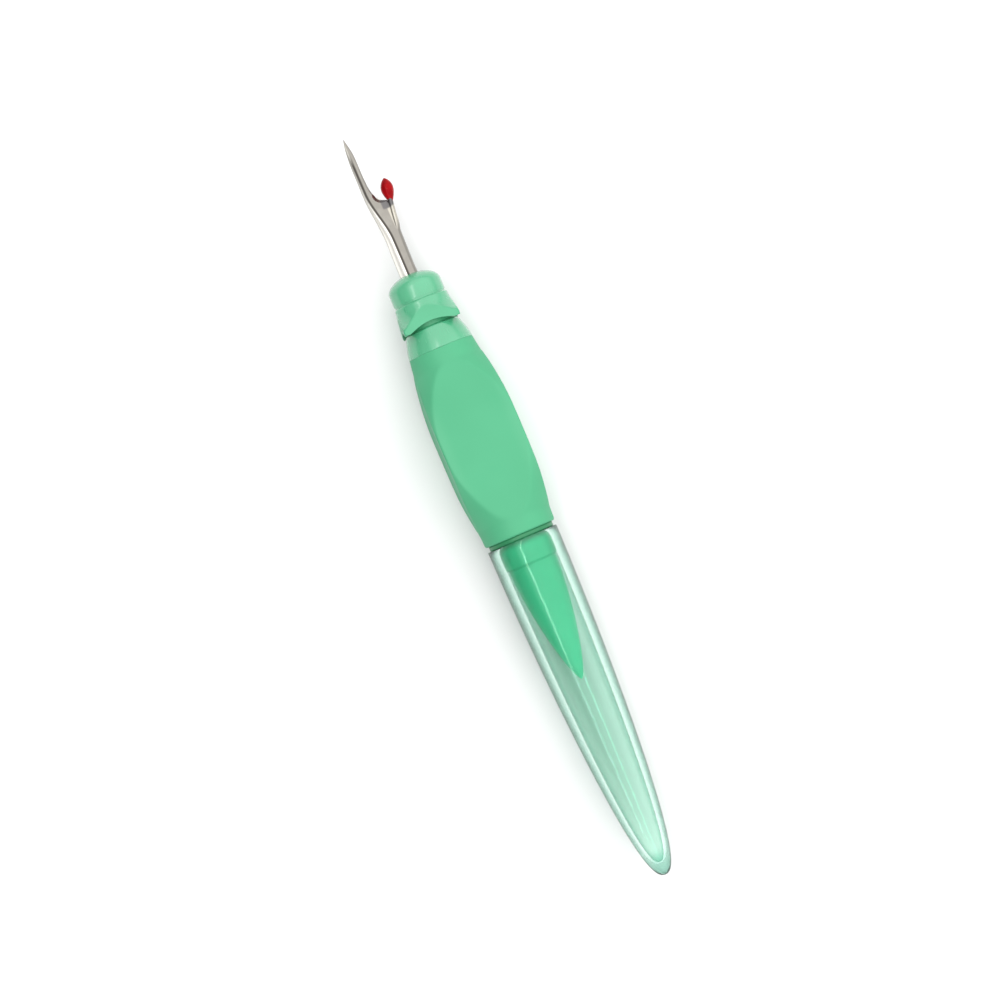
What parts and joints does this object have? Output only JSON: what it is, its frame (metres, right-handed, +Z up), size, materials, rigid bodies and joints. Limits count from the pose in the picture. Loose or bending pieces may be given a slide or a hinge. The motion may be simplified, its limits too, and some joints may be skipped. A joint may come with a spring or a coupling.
{
  "type": "seam ripper",
  "caption": "Hand seam ripper: forked steel blade with a ball on the short prong, waisted four-sided soft-grip handle, clear tapering cap on the rear spigot.",
  "frame": {"origin": "on the surface that the belly of the grip rests on, under the middle of the whole length with the cap posted", "axes": "+X along the handle towards the blade's point, +Z up out of one flat of the grip, -Y to the side that the ball and short prong are on"},
  "size_m": [0.1316, 0.0138, 0.0137],
  "materials": {
    "blade_steel": "bright nickel plate over forged steel",
    "ball_plastic": "glossy deep red dip",
    "core_plastic": "smooth moulded mint green, satin gloss",
    "grip_rubber": "soft-touch mint green, fine matt grain",
    "cap_plastic": "clear pale green, polished"
  },
  "bodies": {
    "handle": {"blade": "blade_steel", "ball_tip": "ball_plastic", "core": "core_plastic", "grip": "grip_rubber"},
    "cap": {"cap": "cap_plastic"}
  },
  "joints": [
    {"name": "cap_slide", "type": "slide", "parent": "handle", "child": "cap", "axis": [-1, 0, 0], "range_m": [0, 0.032]}
  ]
}
